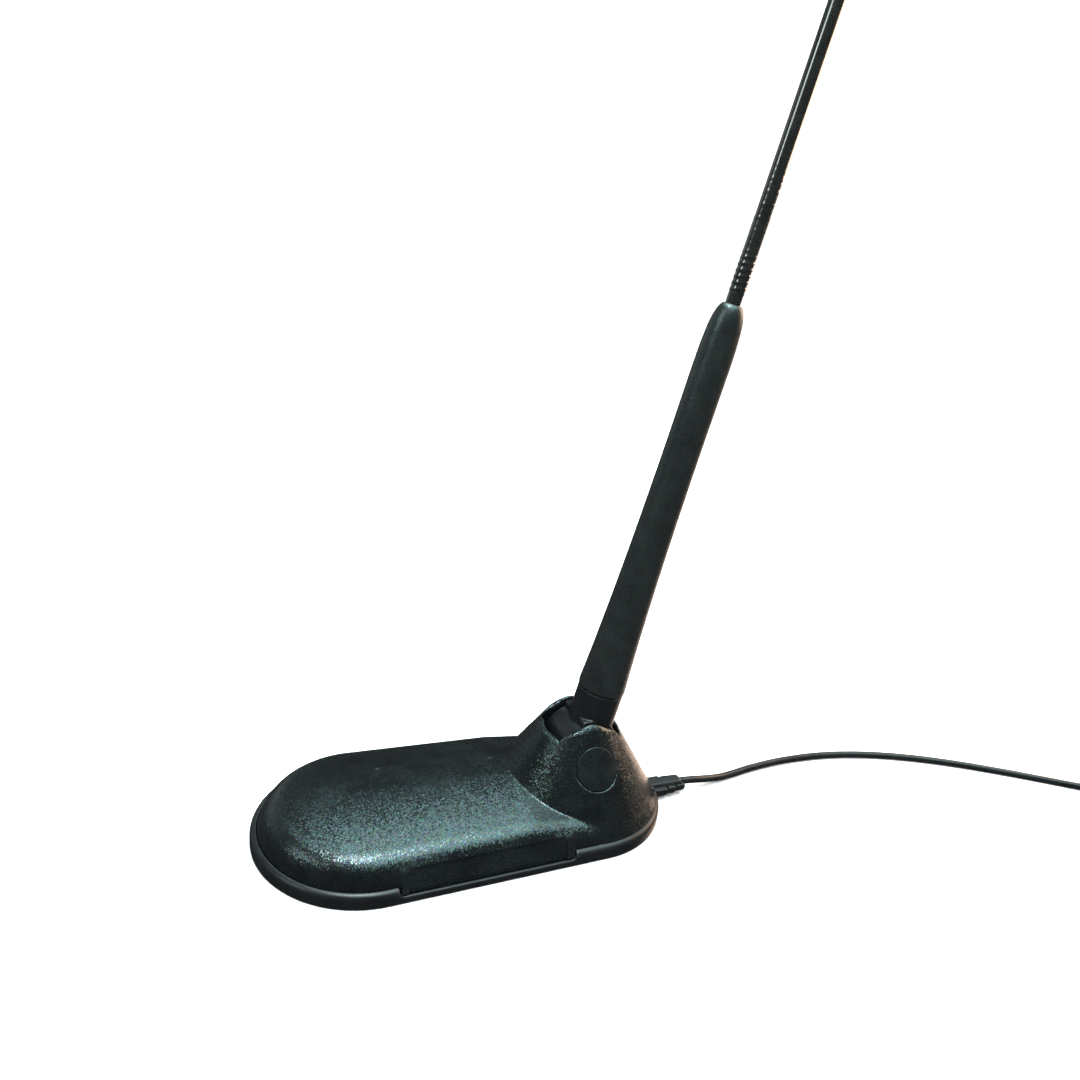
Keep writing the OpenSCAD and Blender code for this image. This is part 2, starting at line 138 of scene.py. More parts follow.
def finish_of(
    name,
    colour,
    tint,
    tint_size,
    rough,
    vary,
    grain,
    height,
    metal=0.0,
    specular=0.5,
    coat=0.0,
    pits=0.0,
    rows=0.0,
    wear=0.0,
    flake=0.0,
    stretch=(1, 1, 1),
):
    """A procedural finish, with its sizes in mm.

    The colour turns to tint in patches of tint_size, and the roughness varies either way.
    grain is the size of the fine relief and height its depth. pits adds hollows and rows adds
    turns of wire, both of that size. wear is how light the rubbed edges are, and flake is how
    far the cells of a sparkling grain tilt.
    """
    made = bpy.data.materials.new(name)
    made.use_nodes = True
    tree = made.node_tree
    shader = tree.nodes["Principled BSDF"]
    place = node(tree, "ShaderNodeTexCoord").outputs["Object"]
    if stretch != (1, 1, 1):
        stretched = {"Vector": place, "Scale": stretch}
        place = node(tree, "ShaderNodeMapping", stretched).outputs["Vector"]
    fine = noise(tree, place, grain * MM)
    broad = noise(tree, place, tint_size * MM, detail=3.0)

    shade = mixed(tree, spread(tree, broad, 0.0, 1.0), colour, tint)
    if wear:
        edge = node(tree, "ShaderNodeNewGeometry").outputs["Pointiness"]
        edge = spread(tree, edge, 0.0, wear, EDGE_START, EDGE_END)
        rubbed = maths(tree, "MULTIPLY", edge, spread(tree, fine, 0.3, 1.0))
        shade = mixed(tree, rubbed, shade, RUBBED)
    tree.links.new(shade, shader.inputs["Base Color"])

    patches = spread(tree, broad, rough - vary, rough + vary)
    roughness = maths(tree, "ADD", spread(tree, fine, -vary, vary), patches)
    tree.links.new(roughness, shader.inputs["Roughness"])

    relief = fine
    if pits:
        relief = maths(tree, "ADD", relief, cells(tree, place, pits)["Distance"])
    if rows:
        waves = {"Vector": place, "Scale": 0.5 / (rows * MM), "Distortion": 0.6, "Detail": 1.0}
        waves = node(tree, "ShaderNodeTexWave", waves, bands_direction="Z")
        relief = maths(tree, "ADD", relief, waves.outputs["Fac"])
    bump = {"Height": relief, "Strength": 1.0, "Distance": height * MM}
    bump = node(tree, "ShaderNodeBump", bump)
    if flake:
        tilt = cells(tree, place, FLAKE_SIZE)["Color"]
        tilt = vector(tree, "SUBTRACT", tilt, (0.5, 0.5, 0.5))
        tilt = vector(tree, "MULTIPLY", tilt, (flake, flake, flake))
        normal = node(tree, "ShaderNodeNewGeometry").outputs["Normal"]
        normal = vector(tree, "NORMALIZE", vector(tree, "ADD", normal, tilt))
        tree.links.new(normal, bump.inputs["Normal"])
        hue = vector(tree, "MULTIPLY", cells(tree, place, HUE_SIZE)["Color"], HUE_SPAN)
        hue = vector(tree, "ADD", hue, HUE_LEAST)
        tree.links.new(hue, shader.inputs["Specular Tint"])
    tree.links.new(bump.outputs["Normal"], shader.inputs["Normal"])

    shader.inputs["Metallic"].default_value = metal
    shader.inputs["Specular IOR Level"].default_value = specular
    shader.inputs["Coat Weight"].default_value = coat
    return made


LOOKS = {
    "housing_plastic": dict(
        colour=(0.0019, 0.0022, 0.0025), tint=(0.003, 0.0036, 0.004), tint_size=9,
        rough=0.26, vary=0.05, grain=0.4, height=0.022,
        pits=0.5, wear=0.2, flake=0.24,
    ),
    "tray_plastic": dict(
        colour=(0.003, 0.0036, 0.0045), tint=(0.0044, 0.0052, 0.0064), tint_size=11,
        rough=0.38, vary=0.05, grain=0.35, height=0.01,
        specular=0.3, wear=0.25,
    ),
    "knuckle_plastic": dict(
        colour=(0.003, 0.0034, 0.0039), tint=(0.0042, 0.0048, 0.0055), tint_size=7,
        rough=0.34, vary=0.04, grain=0.3, height=0.006,
        specular=0.32, wear=0.2,
    ),
    "cap_plastic": dict(
        colour=(0.002, 0.0023, 0.0029), tint=(0.0032, 0.0038, 0.0045), tint_size=5,
        rough=0.32, vary=0.05, grain=0.4, height=0.015,
        specular=0.45, pits=0.5, flake=0.2,
    ),
    "sleeve_rubber": dict(
        colour=(0.0055, 0.006, 0.0063), tint=(0.008, 0.0088, 0.0088), tint_size=8,
        rough=0.34, vary=0.06, grain=0.36, height=0.015,
        specular=0.48, pits=0.45, flake=0.12,
    ),
    "boot_rubber": dict(
        colour=(0.004, 0.0042, 0.0052), tint=(0.006, 0.0064, 0.0078), tint_size=4,
        rough=0.5, vary=0.06, grain=0.3, height=0.01,
        specular=0.3, wear=0.15,
    ),
    "pad_rubber": dict(
        colour=(0.015, 0.015, 0.016), tint=(0.022, 0.022, 0.023), tint_size=12,
        rough=0.75, vary=0.06, grain=0.9, height=0.05,
    ),
    "sheath_plastic": dict(
        colour=(0.0035, 0.0042, 0.004), tint=(0.006, 0.0072, 0.0068), tint_size=5,
        rough=0.24, vary=0.05, grain=0.6, height=0.006,
        specular=0.7, coat=0.8,
    ),
    "cable_jacket": dict(
        colour=(0.0032, 0.0038, 0.005), tint=(0.005, 0.0058, 0.0075), tint_size=7,
        rough=0.32, vary=0.05, grain=0.5, height=0.006,
        specular=0.4,
    ),
    "zinc_steel": dict(
        colour=(0.55, 0.56, 0.56), tint=(0.66, 0.66, 0.62), tint_size=3,
        rough=0.36, vary=0.08, grain=0.25, height=0.004,
        metal=1.0,
    ),
    "ferrite": dict(
        colour=(0.05, 0.052, 0.055), tint=(0.09, 0.09, 0.095), tint_size=4,
        rough=0.55, vary=0.08, grain=0.3, height=0.012,
    ),
    "brass": dict(
        colour=(0.62, 0.43, 0.16), tint=(0.72, 0.54, 0.25), tint_size=3,
        rough=0.3, vary=0.07, grain=0.3, height=0.004,
        metal=1.0,
    ),
    "copper": dict(
        colour=(0.55, 0.2, 0.075), tint=(0.7, 0.3, 0.12), tint_size=2,
        rough=0.28, vary=0.06, grain=0.3, height=0.004,
        metal=1.0, rows=0.5,
    ),
    "board": dict(
        colour=(0.012, 0.075, 0.03), tint=(0.02, 0.12, 0.05), tint_size=2.5,
        rough=0.4, vary=0.08, grain=0.8, height=0.01,
        coat=0.3,
    ),
    "ceramic": dict(
        colour=(0.45, 0.36, 0.2), tint=(0.55, 0.45, 0.28), tint_size=1.5,
        rough=0.5, vary=0.06, grain=0.3, height=0.006,
    ),
    "white_nylon": dict(
        colour=(0.7, 0.7, 0.66), tint=(0.78, 0.77, 0.73), tint_size=4,
        rough=0.45, vary=0.06, grain=0.4, height=0.008,
    ),
    "fibreglass": dict(
        colour=(0.6, 0.55, 0.33), tint=(0.72, 0.66, 0.42), tint_size=3,
        rough=0.42, vary=0.08, grain=0.5, height=0.01,
        stretch=(4, 4, 0.4),
    ),
    "plug_metal": dict(
        colour=(0.66, 0.47, 0.17), tint=(0.76, 0.58, 0.27), tint_size=2,
        rough=0.24, vary=0.08, grain=0.22, height=0.004,
        metal=1.0,
    ),
    "gold_pin": dict(
        colour=(0.83, 0.6, 0.22), tint=(0.9, 0.68, 0.3), tint_size=1,
        rough=0.2, vary=0.05, grain=0.2, height=0.002,
        metal=1.0,
    ),
    "ptfe": dict(
        colour=(0.72, 0.71, 0.66), tint=(0.8, 0.79, 0.75), tint_size=1.5,
        rough=0.4, vary=0.05, grain=0.3, height=0.004,
    ),
}
FINISH = {name: finish_of(name, **look) for name, look in LOOKS.items()}

# ---------- mesh tools ----------

LATHE_SHARP = 38


def piece(name, points, faces, body, slot, replaced, normals=None):
    """A smooth mesh piece from points in mm, which rides on a CAD body and replaces nodes."""
    mesh = bpy.data.meshes.new(name)
    points = (np.asarray(points, float) * MM).tolist()
    mesh.from_pydata(points, [], [list(map(int, f)) for f in faces])
    mesh.shade_smooth()
    if normals is not None:
        mesh.normals_split_custom_set_from_vertices(normals.tolist())
    made = bpy.data.objects.new(name, mesh)
    bpy.context.scene.collection.objects.link(made)
    dress(made, body, slot, replaced)
    return made


def dress(made, body, slot, replaced):
    """Gives a piece its finish and its body, and hides the nodes that it stands for."""
    made.data.materials.append(FINISH[slot])
    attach(made, body)
    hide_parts(*replaced)


def crisp(made, angle):
    """Keeps the edges sharp where faces meet at more than that angle, in degrees."""
    made.data.set_sharp_from_angle(angle=math.radians(angle))


CORNERS = [(i, j, k) for i in (0, 1) for j in (0, 1) for k in (0, 1)]
EDGES = [
    (a, b)
    for a in range(8)
    for b in range(a + 1, 8)
    if sum(abs(p - q) for p, q in zip(CORNERS[a], CORNERS[b])) == 1
]


PROBE = 0.02
SETTLE_TIMES, SETTLE_SHARE, LEAST_SLOPE = 3, 0.4, 0.2


def slope(field, p):
    """The gradient of a field at points."""
    parts = []
    for axis in range(3):
        step = np.zeros(3)
        step[axis] = PROBE
        a, b = p + step, p - step
        parts.append((field(*a.T) - field(*b.T)) / (2 * PROBE))
    return np.stack(parts, 1)


def skin(field, low, high, step):
    """Points, quads and normals of the surface where a field is zero.

    Each cell that the surface crosses gets one point, which then settles on to it.
    """
    grid = [np.arange(a - step, b + 2 * step, step) for a, b in zip(low, high)]
    yy, zz = np.meshgrid(grid[1], grid[2], indexing="ij")
    values = np.stack([field(np.full_like(yy, x), yy, zz) for x in grid[0]]).astype(np.float32)
    inside = values < 0
    size = [n - 1 for n in inside.shape]

    def window(corner):
        return tuple(slice(o, o + n) for o, n in zip(corner, size))

    count = sum(inside[window(c)].astype(np.int8) for c in CORNERS)
    crossed = (count > 0) & (count < 8)
    cells = np.argwhere(crossed)
    index = np.full(crossed.shape, -1, np.int64)
    index[crossed] = np.arange(len(cells))
    at = [values[window(c)][crossed] for c in CORNERS]
    total, hits = np.zeros((len(cells), 3)), np.zeros(len(cells))
    for a, b in EDGES:
        cut = (at[a] < 0) != (at[b] < 0)
        t = (at[a] / np.where(cut, at[a] - at[b], 1))[:, None]
        p = np.array(CORNERS[a]) + t * (np.array(CORNERS[b]) - np.array(CORNERS[a]))
        total[cut] += p[cut]
        hits[cut] += 1
    p = np.array([g[0] for g in grid]) + (cells + total / hits[:, None]) * step
    quads = []
    for turn in ((0, 1, 2), (1, 2, 0), (2, 0, 1)):
        solid, ids = inside.transpose(turn), index.transpose(turn)
        a, b = solid[:-1, 1:-1, 1:-1], solid[1:, 1:-1, 1:-1]
        for flip, change in ((False, a & ~b), (True, ~a & b)):
            i, j, k = np.nonzero(change)
            ring = [ids[i, j, k], ids[i, j + 1, k], ids[i, j + 1, k + 1], ids[i, j, k + 1]]
            quads.append(np.stack(ring[::-1] if flip else ring, 1))
    for _ in range(SETTLE_TIMES):
        g = slope(field, p)
        move = field(*p.T)[:, None] * g / np.maximum((g * g).sum(1), LEAST_SLOPE)[:, None]
        far = np.linalg.norm(move, axis=1, keepdims=True)
        p = p - move * np.minimum(1, SETTLE_SHARE * step / np.maximum(far, 1e-9))
    n = slope(field, p)
    n /= np.maximum(np.linalg.norm(n, axis=1), 1e-9)[:, None]
    return p, np.concatenate(quads), n


def smin(a, b, k):
    """The lower of two fields, rounded over where they meet."""
    h = np.clip(0.5 + 0.5 * (b - a) / k, 0, 1)
    return b + (a - b) * h - k * h * (1 - h)


def smax(a, b, k):
    """The higher of two fields, rounded over where they meet."""
    return -smin(-a, -b, k)


def box_field(x, y, z, low, high, r=0.0):
    """Distance to a box with rounded edges."""
    q = [
        np.abs(v - (a + b) / 2) - (b - a) / 2 + r
        for v, a, b in zip((x, y, z), low, high)
    ]
    out = np.sqrt(sum(np.maximum(v, 0) ** 2 for v in q))
    return out + np.minimum(np.maximum(np.maximum(q[0], q[1]), q[2]), 0) - r


def outline_field(x, y, r1, r2):
    """Distance to the plan's outline: two arcs and their tangents."""
    long = TAIL_X - NOSE_X
    b = (r1 - r2) / long
    a = math.sqrt(1 - b * b)
    u, v = np.abs(y), x - NOSE_X
    k = -b * u + a * v
    side = a * u + b * v - r1
    nose, tail = np.hypot(u, v) - r1, np.hypot(u, v - long) - r2
    return np.where(k < 0, nose, np.where(k > a * long, tail, side))


def rounded(points, times):
    """A line of points with its corners cut off that many times, and the same ends."""
    p = np.array(points, float)
    for _ in range(times):
        q, r = 0.75 * p[:-1] + 0.25 * p[1:], 0.25 * p[:-1] + 0.75 * p[1:]
        mid = np.stack([q, r], 1).reshape(-1, p.shape[1])
        p = np.concatenate([p[:1], mid[1:-1], p[-1:]])
    return p


def lathe(name, profile, place, body, slot, replaced, sides, relief=None):
    """A closed profile of (radius, height) turned about an axis. relief adds to the radius."""
    profile = np.array(profile, float)
    turn = np.linspace(0, 2 * np.pi, sides, endpoint=False)
    r, s = (np.repeat(profile[:, i : i + 1], sides, 1) for i in (0, 1))
    t = np.repeat(turn[None], len(profile), 0)
    if relief is not None:
        r = r + relief(r, s, t)
    points = place(np.stack([r * np.cos(t), r * np.sin(t), s], 2).reshape(-1, 3))
    n, faces = len(profile), []
    for i in range(n):
        for k in range(sides):
            a, b, k1 = i * sides, (i + 1) % n * sides, (k + 1) % sides
            faces.append((a + k, a + k1, b + k1, b + k))
    crisp(piece(name, points, faces, body, slot, replaced), LATHE_SHARP)


def on_hinge(p):
    """From the tilting frame, with z along the mast, to the model's frame."""
    c, s = math.cos(LEAN), math.sin(LEAN)
    x, y, z = np.asarray(p, float).T
    return np.stack([x * c + z * s, y, z * c - x * s], 1) + PIVOT


def on_mast(p):
    """From the mast's frame, with z along its axis, to the model's frame."""
    return on_hinge(np.asarray(p, float) + (MAST_OFF, 0, 0))


# ---------- cord: lead, storage coil and tail, as one line ----------

LEAD = [
    (84.5, -5, 4.3), (90, -5, 3.9), (96, -4.5, 2.9), (103, -3.6, 1.8), (110, -2.4, 1.4),
    (118, -1, 1.4), (126, 0, 1.4), (134, 0.6, 1.4), (142, 0.7, 1.4), (150, 0.4, 1.4),
    (158, -0.4, 1.4), (166, -1.8, 1.4), (174, -3.7, 1.4), (182, -6.1, 1.4), (190, -9, 1.4),
    (198, -12.4, 1.4), (206, -16.2, 1.4), (214, -20.4, 1.4), (222, -25, 1.4),
    (230, -29.8, 1.4), (238, -34.8, 1.4), (246, -39.9, 1.4), (254, -45.2, 1.5),
    (261, -50, 1.7), (268, -54.9, 2),
]
COIL_AT = np.array([260.0, -80.0])
COIL_IN, COIL_TURNS, PITCH = 7.1, 6.25, 2.87
COIL_OUT = COIL_IN + COIL_TURNS * PITCH
COIL_START, COIL_END = 55, 235
LAYER_Z = [2.1 + PITCH * i for i in range(4)]
PER_TURN, PARTS = 44, 5
LAST_LAYER_TURN, RISE_BEFORE_END, RISE_OVER = 25, 20, 24.7
TAIL = [
    (24.2, -4.6, 13.54), (21.6, -8, 13.54), (18, -10.3, 13.64), (14, -11, 14.14),
    (10.5, -11, 15.95), (7, -11, 16.75), (3.5, -11, 16.85),
]


def soft_step(t):
    """0 up to t = 0, 1 from t = 1, and smooth between."""
    t = np.clip(t, 0, 1)
    return t * t * (3 - 2 * t)


def on_coil(p, turn=COIL_END):
    """From a frame at the coil's centre, turned about z, to the model's frame."""
    a = math.radians(turn)
    x, y, z = np.asarray(p, float).T
    c, s = math.cos(a), math.sin(a)
    return np.stack([x * c - y * s + COIL_AT[0], x * s + y * c + COIL_AT[1], z], 1)


def coil_line():
    """Four flat layers wound in, out, in and out, and half a turn from each to the next."""
    spans, radii, heights = [], [], []
    for layer, (a, b) in enumerate([(COIL_OUT, COIL_IN), (COIL_IN, COIL_OUT)] * 2):
        n = int(COIL_TURNS * PER_TURN)
        spans += [COIL_TURNS / n] * n
        radii += list(np.linspace(a, b, n + 1)[1:])
        heights += [LAYER_Z[layer]] * n
        if layer < 3:
            n = PER_TURN // 2
            spans += [0.5 / n] * n
            radii += [b] * n
            rise = soft_step(np.linspace(0, 1, n + 1)[1:])
            heights += list(LAYER_Z[layer] + PITCH * rise)
    turned = np.concatenate([[0], np.cumsum(spans)])
    radii, heights = np.array([COIL_OUT, *radii]), np.array([LAYER_Z[0], *heights])
    left = (turned[-1] - turned) * 2 * np.pi * COIL_OUT
    rise = soft_step((RISE_BEFORE_END - left) / RISE_OVER) * (TAIL[0][2] - LAYER_Z[3])
    heights += np.where(turned > LAST_LAYER_TURN, rise, 0)
    a = np.radians(COIL_START) - turned * 2 * np.pi
    flat = np.stack([radii * np.cos(a), radii * np.sin(a)], 1) + COIL_AT
    return np.column_stack([flat, heights])


def through(points, parts):
    """A smooth line through points, with that many parts between each two."""
    p = np.array(points, float)
    ends = np.concatenate([2 * p[:1] - p[1:2], p, 2 * p[-1:] - p[-2:-1]])
    t = np.linspace(0, 1, parts, endpoint=False)[:, None]
    line = []
    for a, b, c, d in zip(ends, ends[1:], ends[2:], ends[3:]):
        square, cube = 2 * a - 5 * b + 4 * c - d, 3 * b - a - 3 * c + d
        line.append(0.5 * (2 * b + (c - a) * t + square * t**2 + cube * t**3))
    return np.concatenate([*line, p[-1:]])


coil = coil_line()
lead = through([*LEAD, coil[0], coil[4]], PARTS)[: len(LEAD) * PARTS]
tail = through([coil[-5], coil[-1], *on_coil(TAIL)], PARTS)[PARTS:]
route = np.concatenate([lead, coil[:-1], tail])
cord_data = bpy.data.curves.new("coax_lead", "CURVE")
cord_data.dimensions = "3D"
cord_data.bevel_depth = CORD_D / 2 * MM
cord_data.bevel_resolution = 5
cord_data.use_fill_caps = True
spline = cord_data.splines.new("POLY")
spline.points.add(len(route) - 1)
spline.points.foreach_set("co", np.column_stack([route * MM, np.ones(len(route))]).ravel())
spline.use_smooth = True
cord = bpy.data.objects.new("coax_lead", cord_data)
bpy.context.scene.collection.objects.link(cord)
dress(cord, "base", "cable_jacket", ["cable_lead", "cable_coil", "cable_tail"])


# ---------- base: tray and foot pad ----------

TRAY_TOP_R, TRAY_FOOT_R, NOTCH_FROM_Y = 2.0, 0.4, 20
RIM_IN, FLOOR_Z = 2.1, 2.2
PAD_IN, PAD_ROOM_Z, PAD_Z = 2.9, 0.8, 0.7
HOLE_R, HEAD_R, HEAD_TOP, SINK, SINK_SCALE = 1.35, 2.8, 2.1, 1.23, 0.63
STEP_SCALE = 1.0


def boot_gap(x, y, z, low, high):
    """Distance to the gap that the boot's neck goes through."""
    return box_field(x, y, z, (62, -9.6, low), (76, -0.4, high), 0.4)


def tray_field(x, y, z):
    """A plate with a round edge, less its notches, the housing's seat, the pad and the screws."""
    d = outline_field(x, y, NOSE_R, TAIL_R)
    mid = (SKIRT_Z + RIM_Z) / 2
    r = np.where(z > mid, TRAY_TOP_R, TRAY_FOOT_R)
    out, up = d + r, np.abs(z - mid) - (RIM_Z - SKIRT_Z) / 2 + r
    f = np.hypot(np.maximum(out, 0), np.maximum(up, 0)) + np.minimum(np.maximum(out, up), 0) - r
    half = (NOTCH[1] - NOTCH[0]) / 2
    run = np.abs(x - NOTCH[0] - half) - half
    notch = smax(run, NOTCH_Z - z, 1.6)
    f = smax(f, -np.maximum(notch, NOTCH_FROM_Y - np.abs(y)), 0.7)
    f = smax(f, -np.maximum(d + RIM_IN, FLOOR_Z - z), 0.2)
    f = np.maximum(f, -np.maximum(d + PAD_IN, z - PAD_ROOM_Z))
    f = np.maximum(f, -boot_gap(x, y, z, 2.3, 7))
    for sx, sy in SCREWS:
        away = np.hypot(x - sx, y - sy)
        f = np.maximum(f, HOLE_R - away)
        sink = (away - HEAD_R + (z - PAD_Z) * SINK) * SINK_SCALE
        f = np.maximum(f, -np.maximum(sink, z - HEAD_TOP))
    return f


p, quads, n = skin(tray_field, (-73, -36, SKIRT_Z), (73, 36, RIM_Z), 0.5 * STEP_SCALE)
piece("tray", p, quads, "base", "tray_plastic", ["base_tray"], n)


def plan_ring(inset, z, count=96):
    """Points round the plan's outline, set in by some mm."""
    r1, r2 = NOSE_R - inset, TAIL_R - inset
    t = math.pi / 2 - math.asin((r1 - r2) / (TAIL_X - NOSE_X))
    a = np.linspace(-t, t, count)
    b = np.linspace(t, 2 * math.pi - t, count)
    tail_arc = np.stack([TAIL_X + r2 * np.cos(a), r2 * np.sin(a), np.full(count, z)], 1)
    nose_arc = np.stack([NOSE_X + r1 * np.cos(b), r1 * np.sin(b), np.full(count, z)], 1)
    return np.concatenate([tail_arc, nose_arc])


def stack_of(rings):
    """Points and faces of closed rings joined one above the other, with a lid at each end."""
    n = len(rings[0])
    faces = [tuple(range(n))[::-1], tuple((len(rings) - 1) * n + k for k in range(n))]
    for i in range(len(rings) - 1):
        for k in range(n):
            k1 = (k + 1) % n
            faces.append((i * n + k, i * n + k1, (i + 1) * n + k1, (i + 1) * n + k))
    return np.concatenate(rings), faces


PAD_RINGS = [(3.25, 0.0), (3.05, 0.06), (3.0, 0.2), (3.0, 0.6), (3.05, PAD_Z)]
p, faces = stack_of([plan_ring(inset, z) for inset, z in PAD_RINGS])
crisp(piece("foot_pad_skin", p, faces, "base", "pad_rubber", ["foot_pad"]), 50)

# ---------- base: housing ----------

SEAM_IN, SEAM_GAP, HOUSING_Z = 2.4, 0.12, 2.65
CROWN_X, CROWN_Z, SHOULDER = 15, 16.5, 4.5
NOSE_FALL, NOSE_RUN, TAIL_FALL, TAIL_RUN = 0.0096, 52, 0.102, 24.5
DOME, DOME_RUN = 4, NOSE_R - SEAM_IN
WALL_SIN, WALL_COS = 0.342, 0.94
PANEL_X, PANEL_HALF, PANEL_LOW, PANEL_HIGH = -2.25, 29.9, 3.0, 10.2
PANEL_IN, PANEL_BEND_Z, PANEL_LEAN, PANEL_SCALE = 0.55, 4.2, 0.62, 0.85
RECESS_LOW, RECESS_HIGH, RECESS_DEEP = (-29.5, -4), (24.6, 9.4), 0.35
CONE_R, CONE_Z, CONE_TOP, CONE_SCALE = 27.3, 12.1, 40.4, 0.8432
WALL, CONE_WALL, CONE_HOLLOW_TOP = 2.2, 2.85, 31
SLOT_HALF, SLOT_FLOOR, DRUM_ROOM = 8.5, 32.4, 12.9
FRONT_LEAN, FRONT_ROOM = math.radians(31), 6.35
REAR_LEAN, REAR_ROOM = math.radians(14.5), 10.75
LIP, LIP_Z = 2.4, 29.5
TUB_R, TUB_HALF, BOLT_R, BOLT_HALF = 14.5, 11.5, 2.05, 20
POST_R, POST_HOLE_R, POST_HOLE_TOP = 3.2, 1.25, 9.2
CAP_NORMAL, CAP_AT = (0.843, 0.537), (18.44, 26.0)
CAP_R, SEAT_R, CAP_THICK, SEAT_DEEP, SEAT_Z = 7.5, 7.58, 1.2, 1.35, 15


def crown_field(x, y, z, shrink):
    """A leaning wall, a round shoulder and a shallow dome, lower at the nose and at the tail."""
    u = -outline_field(x, y, NOSE_R, TAIL_R) - SEAM_IN - shrink
    top = CROWN_Z - NOSE_FALL * np.clip(CROWN_X - x, 0, NOSE_RUN)
    top = top - TAIL_FALL * np.clip(x - CROWN_X, 0, TAIL_RUN) - shrink
    share = np.maximum(DOME_RUN - u, 0) / DOME_RUN
    dome = (z - top + DOME * share * share) * 0.97
    inside = u + SEAM_GAP
    leaning = WALL_SIN * (z - RIM_Z) - WALL_COS * inside
    return smax(np.maximum(-inside, leaning), dome, SHOULDER)


def facade(x, y, z):
    """Distance to the sloping face of the side panel."""
    d = outline_field(x, y, NOSE_R, TAIL_R)
    slant = np.maximum(z - PANEL_BEND_Z, 0) * PANEL_LEAN
    return (d + PANEL_IN + slant) * PANEL_SCALE


def panel_field(x, y, z):
    """The panels in the tray's notches, on both long sides."""
    run = np.abs(x - PANEL_X) - PANEL_HALF
    f = smax(facade(x, y, z), run, 1.4)
    return smax(smax(f, PANEL_LOW - z, 0.5), z - PANEL_HIGH, 2.2)


def cone_field(x, y, z, cut, top):
    """The turret's cone, set in by a cut, up to a top."""
    r = CONE_R - CONE_K * (z - CONE_Z) - cut
    return smax((np.hypot(x - CONE_X, y) - r) * CONE_SCALE, z - top, 1.2)


def outside_field(x, y, z):
    """The housing's outer shape, without its openings."""
    f = smin(crown_field(x, y, z, 0), panel_field(x, y, z), 0.9)
    return smin(f, cone_field(x, y, z, 0, CONE_TOP), 0.45)


def slot_field(x, y, z):
    """Room for the drum and for the mast over its travel."""
    dx, dz = x - PIVOT[0], z - PIVOT[2]
    drum = np.hypot(dx, dz) - DRUM_ROOM
    front = -dx * math.cos(FRONT_LEAN) - dz * math.sin(FRONT_LEAN) - FRONT_ROOM
    rear = dx * math.cos(REAR_LEAN) - dz * math.sin(REAR_LEAN) - REAR_ROOM
    floor = -dz - 3 - 0.02 * dx
    wedge = smax(np.maximum(front, rear), floor, 0.5)
    recess = np.maximum(cone_field(x, y, z, LIP, 60), np.maximum(LIP_Z - z, dx))
    f = smin(smin(np.minimum(drum, recess), wedge, 0.8), SLOT_FLOOR - z, 0.8)
    return np.maximum(f, np.abs(y) - SLOT_HALF)


def cap_core(x, y, z):
    """Distance to the cylinder that the caps and their seats are cut with."""
    side = np.abs(y) - CAP_AT[0]
    across = side * CAP_NORMAL[1] - (z - CAP_AT[1]) * CAP_NORMAL[0]
    return np.hypot(x - CONE_X, across)


def housing_field(x, y, z):
    """The outer shape less its hollow, slot, cap seats, panel recesses and holes."""
    outer = outside_field(x, y, z)
    f = smax(outer, HOUSING_Z - z, 0.3)
    cone = cone_field(x, y, z, CONE_WALL, CONE_HOLLOW_TOP)
    hollow = np.minimum(crown_field(x, y, z, WALL), cone)
    from_bolt = np.hypot(x - PIVOT[0], z - PIVOT[2])
    hollow = np.maximum(hollow, -np.maximum(from_bolt - TUB_R, np.abs(y) - TUB_HALF))
    for sx, sy in SCREWS:
        hollow = np.maximum(hollow, POST_R - np.hypot(x - sx, y - sy))
    f = np.maximum(f, -hollow)
    for sx, sy in SCREWS:
        away = np.hypot(x - sx, y - sy)
        f = np.maximum(f, -np.maximum(away - POST_HOLE_R, z - POST_HOLE_TOP))
    ear_round = 0.6 + 3.2 * soft_step((z - 33) / 4)
    f = smax(f, -slot_field(x, y, z), ear_round)
    seat = np.maximum(cap_core(x, y, z) - SEAT_R, -outer - SEAT_DEEP)
    f = smax(f, -np.maximum(seat, SEAT_Z - z), 0.5)
    recess = box_field(x, z, 0 * z, (*RECESS_LOW, -9), (*RECESS_HIGH, 9), 1.3)
    f = smax(f, -np.maximum(recess, -facade(x, y, z) - RECESS_DEEP), 0.35)
    f = np.maximum(f, -boot_gap(x, y, z, 0, 6.4))
    return np.maximum(f, -np.maximum(from_bolt - BOLT_R, np.abs(y) - BOLT_HALF))


p, quads, n = skin(housing_field, (-71, -36, 2.6), (71, 36, 41), 0.56 * STEP_SCALE)
piece("housing", p, quads, "base", "housing_plastic", ["upper_housing"], n)


def cap_field(x, y, z):
    """Both caps: round pieces of the turret's outer surface."""
    outer = outside_field(x, y, z)
    shell = smax(outer + 0.02, -outer - CAP_THICK, 0.1)
    return smax(cap_core(x, y, z) - CAP_R, shell, 0.3)


for side, name in ((-1, "left"), (1, "right")):
    low, high = sorted([side * 11.0, side * 25.0])
    p, quads, n = skin(cap_field, (31, low, 17.5), (48.5, high, 34.5), 0.3 * STEP_SCALE)
    piece(f"cap_{name}", p, quads, "base", "cap_plastic", [f"hinge_cap_{name}"], n)


# ---------- base: strain relief ----------


BOOT_Y, BOOT_Z, LEAD_Z = -5, 4.2, 4.3
BAR = (69, 84.4, 2.8)
RIBS = ((73.0, 76.5, 4.4), (77.2, 80.4, 3.9), (81.1, 84.5, 3.4))
NECK_LOW, RIB_TOP, BAR_TOP, NECK_END = 2.35, 4.9, 6.2, 73
FLANGE_X, FLANGE_END, OUTSIDE_X = 63.9, 65.6, 65.7


